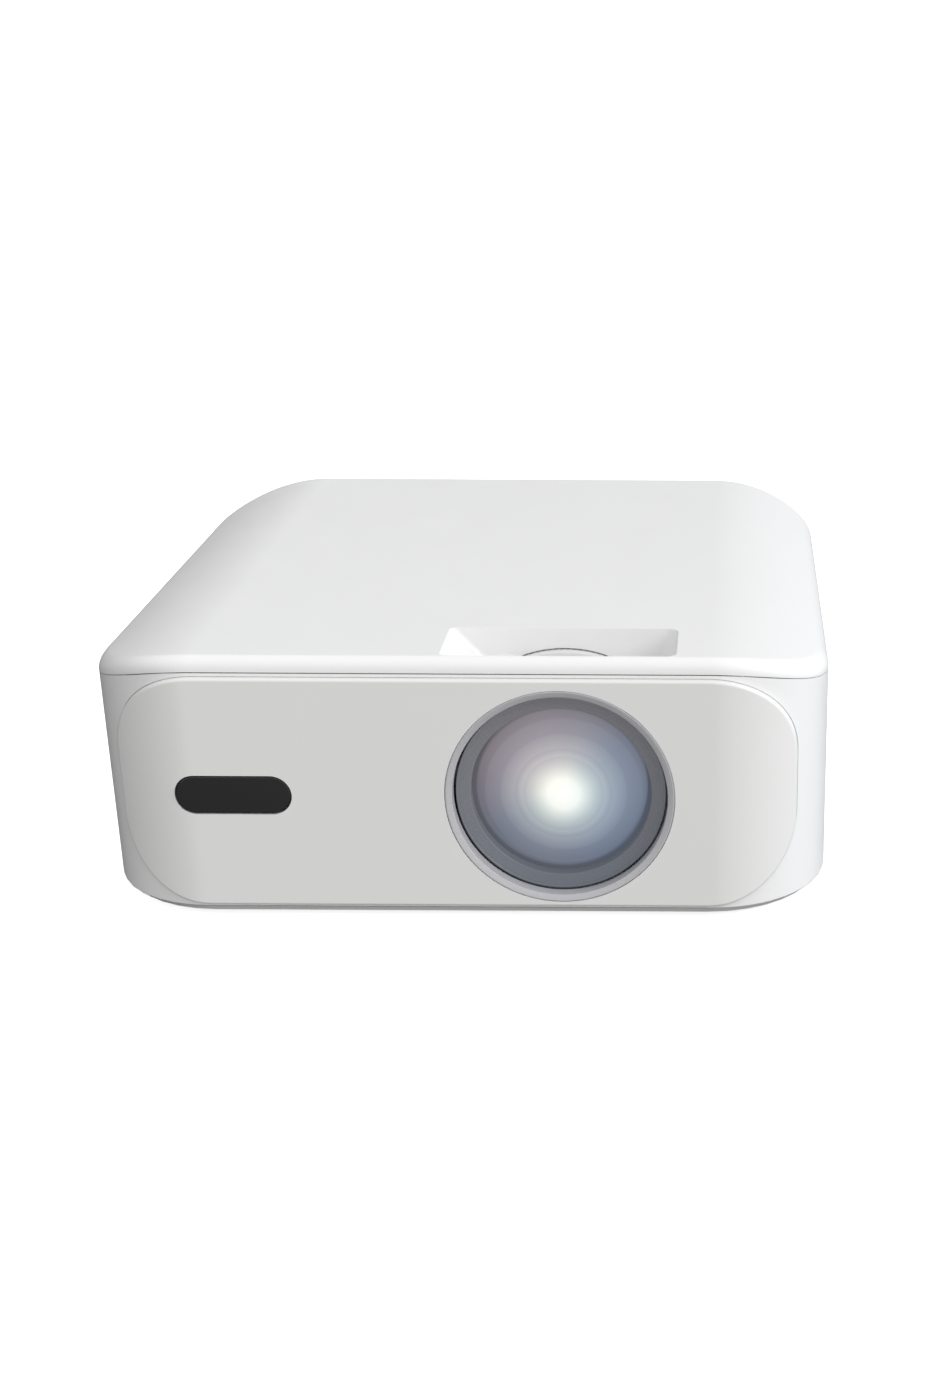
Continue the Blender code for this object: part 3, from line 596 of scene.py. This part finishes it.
def makeMainCase(material):
    caseTop = top - casing["skirt"] - casing["gap"]
    case = outline("mainCase", 0.0, caseLow.z, caseTop)
    case = cut(case, outline("hollow", casing["wall"], caseLow.z - 5, caseTop + 5))
    case = cut(case, wrappedPlate("rebate", panel["gap"], -3.0, panel["inner"] + casing["gap"], 0.0))
    case = cut(
        case,
        rodPiece("bore", lens, trimHigh.x - lens[0] + 0.8, front - 8, front + 8, sides=96),
        pill("eye", windowPlace, 29.0, 8.0, front - 8, front + 8),
    )
    openings = [*sideSlots(), *rearSlots()]
    for x, z, width, height in ports.values():
        if height:
            low = (x - width / 2, back - 6, z - height / 2)
            openings.append(boxPiece(
                "port", low, (x + width / 2, back + 3, z + height / 2), 0.8, axis=1, segments=4))
        else:
            openings.append(rodPiece("port", (x, z), width / 2, back - 6, back + 3, sides=48))
    case = cut(case, gathered(openings))
    dropCrown(case, caseTop - 0.2)
    dress(case, rootBody, material, "main_case", "shell_white")


def insideOutline(point):
    # how far in from the casing's plan outline a point is, in mm
    inX = halfWidth - abs(point.x / mm)
    inY = min(point.y / mm - front, back - point.y / mm)
    arm = casing["corner"]
    if inX < arm and inY < arm:
        return arm - math.hypot(arm - inX, arm - inY)
    return min(inX, inY)


def makeBaseCover(material):
    base = mergedCopy("base_cover")
    flat = (baseLow.z + 0.01) * mm
    band = casing["rimBand"]

    def footEdge(edge):
        return all(vert.co.z < flat and insideOutline(vert.co) < band for vert in edge.verts)

    bevelEdges(base, footEdge, casing["footEdge"], 3)
    middle = (front + back) / 2 * mm
    drawnIn = 1 - casing["footDraw"] / halfWidth
    for vert in base.data.vertices:
        if vert.co.z < (baseLow.z + band) * mm and insideOutline(vert.co) < band:
            vert.co.x *= drawnIn
            vert.co.y = middle + (vert.co.y - middle) * drawnIn
    dress(base, rootBody, material, "base_cover", "shell_white")


def makeWindow(material):
    glass = pill("irWindow", windowPlace, window["width"], window["height"], windowLow.y, windowHigh.y)
    bevelEdges(glass, lambda edge: allAt(edge, 1, windowLow.y), window["rim"], 3)
    dress(glass, rootBody, material, "ir_window", "ir_gloss_black")


# lens

def makeTrimRing(material):
    outer = trimHigh.x - lens[0]
    face, rear = trimLow.y, trimHigh.y
    inner = outer - 2.2
    profile = [
        (outer, rear), (outer, face + 0.35), (outer - 0.12, face + 0.1), (outer - 0.35, face),
        (outer - 0.7, face + 0.05), (inner + 0.3, face + 0.4), (inner + 0.06, face + 0.55),
        (inner, face + 0.8), (inner, rear),
    ]
    ring = spunPiece("trimRing", profile, lens, steps=160)
    dress(ring, rootBody, material, "lens_trim_ring", "trim_silver")


retainer = {"width": 4.3, "grooves": 5, "grooveDepth": 0.05, "lip": 0.7, "dish": 0.7}


def makeRetainingRing(material):
    # a dished ring with fine turned grooves, which holds the front glass
    low, high = mmBox("lens_retaining_ring")
    outer = high.x - lens[0]
    face = low.y
    inner = outer - retainer["width"]
    dish, depth, count = retainer["dish"], retainer["grooveDepth"], retainer["grooves"]
    profile = [(inner, high.y), (inner, face + dish + 0.15), (inner + 0.15, face + dish)]
    start, end = inner + 0.5, outer - retainer["lip"] - 0.2
    for k in range(count):
        for share, sunk in ((0.0, 0.0), (0.12, depth), (0.5, depth), (0.62, 0.0)):
            radius = start + (end - start) * (k + share) / count
            profile.append((radius, face + dish * (outer - radius) / (outer - inner) + sunk))
    profile += [
        (outer - retainer["lip"], face + 0.2), (outer - 0.5, face), (outer - 0.1, face), (outer, face + 0.1),
        (outer, face + 1.0), (inner + 0.9, face + 2.4), (inner + 0.9, high.y),
    ]
    ring = spunPiece("retainingRing", profile, lens, steps=128)
    dress(ring, "focus_barrel_body", material, "lens_retaining_ring", "lens_black")


frontLens = {"bulge": 3.0, "rows": 14, "gap": 0.02}


def makeFrontGlass(material):
    # a glass with a bulging face and a flat back
    low, high = mmBox("front_lens")
    rim = high.x - lens[0] - frontLens["gap"]
    bulge, rows = frontLens["bulge"], frontLens["rows"]
    face = [(rim * k / rows, low.y + bulge - bulge * (1 - (k / rows) ** 2)) for k in range(rows + 1)]
    rear = [(rim * k / rows, high.y) for k in range(rows, -1, -1)]
    glass = spunPiece("frontGlass", face + rear, lens, steps=96)
    dress(glass, "focus_barrel_body", material, "front_lens", "lens_glass")


focusGrip = {"ribs": 120, "depth": 0.16, "width": 8.4, "bore": 32.0}


def makeFocusRing(material):
    # the finger ring: a rounded rim with fine ribs
    outer = ringHigh.x - lens[0]
    face, rear = ringLow.y, ringHigh.y
    rim = face + focusGrip["width"]
    bore = focusGrip["bore"]
    sunk = outer - focusGrip["depth"]
    profile = [
        (bore, face), (outer - 1.1, face), (outer - 0.5, face + 0.12), (outer - 0.12, face + 0.5),
        (outer, face + 1.1), (outer, face + 1.6), (sunk, face + 1.9), (sunk, rim - 0.5), (outer - 0.7, rim),
        (35.8, rim), (35.8, rear), (34.4, rear), (34.4, rim), (bore, rim),
    ]
    ring = spunPiece("focusRing", profile, lens, steps=180)
    rib = boxPiece("rib", (outer - 0.8, face + 1.4, -0.34), (outer - 0.01, rim - 0.6, 0.34))
    bevelEdges(rib, lambda edge: all(vert.co.x > (outer - 0.3) * mm for vert in edge.verts), 0.14, 2)
    ribs = []
    for k in range(focusGrip["ribs"]):
        made = copyOf(rib, "rib")
        made.rotation_euler.y = math.tau * k / focusGrip["ribs"]
        made.location = Vector((lens[0], 0, lens[1])) * mm
        applyPlace(made)
        ribs.append(made)
    bpy.data.objects.remove(rib)
    ring = join(ring, gathered(ribs))
    dress(ring, "focus_ring_body", material, "focus_ring", "trim_silver")


# materials of the visible pieces

# painted light of the lit front glass: its glow, rings, warm and blue casts and rim shade
glow = {
    "shift": (0.6, -1.0),  # the painted glow's white heart lies a little off the lens axis
    "reach": 31.5,
    "stops": [
        (0.0, (1.05, 1.06, 1.0)), (0.15, (0.95, 0.98, 0.92)), (0.22, (0.74, 0.79, 0.75)),
        (0.3, (0.54, 0.59, 0.59)), (0.38, (0.4, 0.445, 0.475)), (0.4, (0.42, 0.46, 0.5)),
        (0.46, (0.315, 0.355, 0.4)), (0.475, (0.335, 0.37, 0.42)), (0.6, (0.235, 0.265, 0.32)),
        (0.615, (0.21, 0.235, 0.29)), (0.75, (0.17, 0.19, 0.24)), (0.77, (0.145, 0.16, 0.205)),
        (0.9, (0.11, 0.12, 0.15)), (1.0, (0.08, 0.09, 0.11)),
    ],
    "tintWidth": 26.0,
    "warm": (1.6, 1.2, 1.08, 1.0),
    "blue": (0.8, 0.93, 1.08, 1.0),
    "tint": 0.9,
    "glassRadius": 27.3,
    "rimStart": 0.93,
    "rimWidth": 0.05,
    "rimMost": 0.6,
    "rimDark": (0.05, 0.055, 0.065, 1.0),
    "cloud": (0.1, 0.11, 0.13, 1.0),
    "clouding": 0.08,
}


def lensGlow():
    # the front glass painted as lit: a painted white glow, painted rings of the inner glasses, painted warm
    # and blue casts, painted rim shade
    graph = Graph("lensGlow", (0.01, 0.011, 0.014), 0.06, 0.0, Coat_Weight=0.4, Coat_Roughness=0.03)
    away = graph.radius((lens[0] + glow["shift"][0], lens[1] + glow["shift"][1])) / glow["reach"]
    lit = graph.node("ShaderNodeValToRGB", {"stops": glow["stops"]}, {0: away})
    side = graph.along(0) - lens[0]
    up = graph.along(2) - lens[1]
    # painted casts of light: warm above left, blue to the right
    warm = ((up * 0.8 - side * 0.6) / glow["tintWidth"]).math("MAXIMUM", 0.0, clamp=True)
    blue = ((side - up * 0.25) / glow["tintWidth"]).math("MAXIMUM", 0.0, clamp=True)
    lit = graph.mix(warm * glow["tint"], lit, glow["warm"], "MULTIPLY")
    lit = graph.mix(blue * glow["tint"], lit, glow["blue"], "MULTIPLY")
    # painted shade darkens the glass towards its rim
    rim = (graph.radius(lens) / glow["glassRadius"] - glow["rimStart"]) / glow["rimWidth"]
    lit = graph.mix(rim.math("MINIMUM", glow["rimMost"], clamp=True), lit, glow["rimDark"])
    cloud = graph.noise(14.0, detail=2.0)
    graph.feed("Emission Color", graph.mix(cloud * glow["clouding"], lit, glow["cloud"]))
    graph.set("Emission Strength", 1.0)
    return graph.material


lampLight = (0.85, 0.88, 1.0, 1.0)  # painted glow of the lamp's stray light, given to dark parts round the lens


def ringBlack():
    # the ring round the front glass, with painted shade, darker and bluer in its lower half, and a faint
    # painted glow of the lamp's stray light
    graph = Graph("ringBlack", (0.15, 0.15, 0.16), 0.42)
    # painted shade: darker and bluer towards the bottom, lighter towards the top
    height = ((graph.along(2) - lens[1]) / 60.0 + 0.5).math("MINIMUM", 1.0, clamp=True)
    mottle = graph.noise(7.0, detail=3.0)
    shade = graph.mix(height, (0.085, 0.1, 0.125, 1.0), (0.2, 0.195, 0.205, 1.0))
    graph.feed("Base Color", graph.mix(mottle * 0.25, shade, (0.12, 0.12, 0.13, 1.0)))
    graph.feed("Roughness", mottle * 0.2 + 0.35)
    graph.bump(graph.noise(0.5, detail=2.0), 0.008, 0.6)
    # a faint painted glow of the lamp's stray light
    graph.set("Emission Color", lampLight)
    graph.set("Emission Strength", 0.05)
    return graph.material


plastics = {  # light and dark shade, roughness, grain size and depth in millimetres
    "shellWhite": ((0.83, 0.83, 0.83), (0.815, 0.815, 0.815), 0.34, 0.45, 0.006),
    "panelWhite": ((0.78, 0.78, 0.772), (0.765, 0.765, 0.757), 0.36, 0.4, 0.006),
    "ringWhite": ((0.72, 0.72, 0.72), (0.69, 0.69, 0.69), 0.42, 0.4, 0.01),
    "windowBlack": ((0.011, 0.011, 0.011), (0.008, 0.008, 0.009), 0.16, 2.0, 0.002),
    "frameBlack": ((0.03, 0.03, 0.032), (0.022, 0.022, 0.024), 0.5, 0.6, 0.02),
    "rubberDark": ((0.035, 0.035, 0.036), (0.022, 0.022, 0.022), 0.8, 0.7, 0.03),
    "sheetClear": ((0.75, 0.82, 0.85), (0.7, 0.78, 0.82), 0.12, 1.5, 0.004),
    "lcdDark": ((0.03, 0.035, 0.045), (0.02, 0.022, 0.03), 0.2, 1.0, 0.002),
    "boardGreen": ((0.03, 0.2, 0.09), (0.02, 0.15, 0.07), 0.4, 1.2, 0.02),
    "phosphorYellow": ((0.85, 0.6, 0.12), (0.78, 0.52, 0.1), 0.55, 0.6, 0.02),
    "foamGrey": ((0.16, 0.16, 0.16), (0.08, 0.08, 0.08), 0.95, 1.4, 0.4),
}
metals = {  # shade, roughness, how its streaks are stretched, and how metallic it is
    "trimSilver": ((0.55, 0.55, 0.575), 0.4, (1, 6, 1), 0.1),
    "aluminiumBare": ((0.75, 0.76, 0.78), 0.32, (1, 1, 8), 1.0),
    "steelPlain": ((0.62, 0.62, 0.63), 0.28, (1, 8, 1), 1.0),
    "brassPlain": ((0.72, 0.52, 0.22), 0.3, (1, 1, 8), 1.0),
}
finishes = {name: mouldedPlastic(name, *settings) for name, settings in plastics.items()}
finishes.update({name: paintedMetal(name, *settings) for name, settings in metals.items()})
# lens black with a faint painted glow of the lamp's stray light
finishes["lensBlack"] = mouldedPlastic(
    "lensBlack", (0.16, 0.16, 0.17), (0.14, 0.14, 0.15), 0.45, 0.5, 0.01,
    Emission_Color=lampLight, Emission_Strength=0.04)

carriedOver = {
    "sheetClear": ["front_fresnel", "rear_fresnel", "heat_glass", "middle_lens", "rear_lens"],
    "lcdDark": ["lcd_panel", "smoothing_capacitor", "power_switch"],
    "lensBlack": ["lens_barrel", "middle_spacer", "rear_spacer", "lens_mount"],
    "frameBlack": [
        "projection_chamber", "optics_frame", "fan_frame", "fan_rotor", "blower_housing", "blower_wheel",
        "left_speaker", "right_speaker"],
    "aluminiumBare": ["reflector_cone", "led_board", "led_heat_sink", "chip_heat_sink", "power_heat_sink"],
    "steelPlain": ["case_screw_1", "case_screw_2", "case_screw_3", "case_screw_4", "focus_pin", "guide_pin"],
    "brassPlain": ["tripod_bush", "adjuster_insert"],
    "boardGreen": ["main_board", "power_board", "ir_receiver"],
    "phosphorYellow": ["led_chip", "transformer"],
    "foamGrey": ["dust_filter"],
}

refinedNodes = {  # small outside pieces whose own shape gets finer edges: body, finish, slot, edge width
    "rubber_foot_1": (rootBody, "rubberDark", "rubber_dark", 0.6),
    "rubber_foot_2": (rootBody, "rubberDark", "rubber_dark", 0.6),
    "rubber_foot_3": (rootBody, "rubberDark", "rubber_dark", 0.6),
    "rubber_foot_4": (rootBody, "rubberDark", "rubber_dark", 0.6),
    "adjuster_screw": ("adjuster_screw_body", "frameBlack", "frame_black", 0.3),
    "adjuster_pad": ("adjuster_pad_body", "rubberDark", "rubber_dark", 0.3),
    "power_button": ("power_button_body", "trimSilver", "trim_silver", 0.4),
    "hdmi_socket": (rootBody, "steelPlain", "steel_plain", 0.12),
    "usb_socket": (rootBody, "steelPlain", "steel_plain", 0.12),
    "audio_jack": (rootBody, "frameBlack", "frame_black", 0.2),
    "power_inlet": (rootBody, "frameBlack", "frame_black", 0.4),
}


def makeRefined(node, body, finishName, slot, width):
    made = mergedCopy(node)
    bevel = made.modifiers.new("edges", "BEVEL")
    bevel.width = width * mm
    bevel.segments = 3
    bevel.limit_method = "ANGLE"
    bevel.angle_limit = math.radians(50)
    applyAll(made)
    dress(made, body, finishes[finishName], node, slot)


print("casing")
makeTopCover(finishes["shellWhite"])
makeMainCase(finishes["shellWhite"])
makeBaseCover(finishes["shellWhite"])
makeFrontPanel(finishes["panelWhite"])
makeWindow(finishes["windowBlack"])
print("lens")
makeTrimRing(finishes["trimSilver"])
makeRetainingRing(ringBlack())
makeFrontGlass(lensGlow())
makeFocusRing(finishes["ringWhite"])
print("small outside pieces")
for node, settings in refinedNodes.items():
    makeRefined(node, *settings)
print("inside pieces")
for name, nodes in carriedOver.items():
    for node in nodes:
        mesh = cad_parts[node].data
        mesh.materials.clear()
        mesh.materials.append(finishes[name])


# studio

studio = {
    "floorSize": 240.0,
    "floorGlow": 0.75,
    "domeBright": 1.03,
    "domeDark": 0.03,
    "domeFrom": (0.43, -0.43, 0.84),
    "domeSoft": 0.35,  # how gradually the bright half meets the dark half
    "suns": {  # strength, where from, spread in degrees and colour
        "key": (0.94, (0.80, -0.30, 0.52), 26.0, (1.0, 1.0, 1.0)),
        "side": (0.7, (0.9, 0.42, 0.12), 40.0, (0.75, 0.87, 1.0)),
    },
}


def makeFloor():
    graph = Graph("floorWhite", (0.9, 0.9, 0.9), 0.6)
    soft = graph.noise(900.0, detail=1.0)
    graph.feed("Base Color", graph.mix(soft, (0.89, 0.89, 0.89, 1.0), (0.91, 0.91, 0.91, 1.0)))
    graph.set("Emission Color", (1.0, 1.0, 1.0, 1.0))
    graph.set("Emission Strength", studio["floorGlow"])
    deselectAll()
    bpy.ops.mesh.primitive_plane_add(size=studio["floorSize"], location=(0, 0, -0.0002))
    floor = bpy.context.object
    floor.name = "floor"
    floor.data.materials.append(graph.material)
    floor.visible_diffuse = False  # the white surround doesn't light the casing from below
    floor.visible_glossy = False
    applyPlace(floor)


def makeLights():
    # a white dome, bright towards one side above, and two broad suns
    world = bpy.data.worlds.new("studio")
    bpy.context.scene.world = world
    world.use_nodes = True
    tree = world.node_tree
    where = tree.nodes.new("ShaderNodeTexCoord")
    toward = tree.nodes.new("ShaderNodeVectorMath")
    toward.operation = "DOT_PRODUCT"
    toward.inputs[1].default_value = Vector(studio["domeFrom"]).normalized()
    shade = tree.nodes.new("ShaderNodeMapRange")
    shade.interpolation_type = "SMOOTHSTEP"
    soft = studio["domeSoft"]
    dark, bright = studio["domeDark"], studio["domeBright"]
    limits = {"From Min": -soft, "From Max": soft, "To Min": dark, "To Max": bright}
    for socket, value in limits.items():
        shade.inputs[socket].default_value = value
    background = tree.nodes["Background"]
    background.inputs["Color"].default_value = (1.0, 1.0, 1.0, 1.0)
    tree.links.new(where.outputs["Generated"], toward.inputs[0])
    tree.links.new(toward.outputs["Value"], shade.inputs["Value"])
    tree.links.new(shade.outputs["Result"], background.inputs["Strength"])
    for name, (energy, source, spread, color) in studio["suns"].items():
        deselectAll()
        bpy.ops.object.light_add(type="SUN", location=Vector(source) * 2)
        light = bpy.context.object
        light.name = name
        light.data.energy = energy
        light.data.color = color
        light.data.angle = math.radians(spread)
        light.rotation_euler = Vector(source).to_track_quat("Z", "Y").to_euler()
    bpy.context.scene.view_settings.view_transform = "Standard"


view = {
    "side": 81.7,  # place in millimetres from the middle, the casing's front and the base
    "ahead": 516.5,
    "above": 272.6,
    "down": 21.32,
    "roll": 0.3,
    "lens": 48.5,
    "shift": -0.188,
    "farEnd": 400.0,
}


def makeCamera():
    deselectAll()
    place = Vector((view["side"], front - view["ahead"], baseLow.z + view["above"])) * mm
    bpy.ops.object.camera_add(location=place, rotation=(math.radians(90 - view["down"]), 0, 0))
    camera = bpy.context.object
    camera.rotation_euler.rotate_axis("Z", math.radians(view["roll"]))
    camera.data.sensor_fit = "AUTO"
    camera.data.sensor_width = 36.0
    camera.data.lens = view["lens"]
    camera.data.shift_x = view["shift"]
    camera.data.clip_end = view["farEnd"]
    bpy.context.scene.camera = camera


print("studio")
makeFloor()
makeLights()
makeCamera()
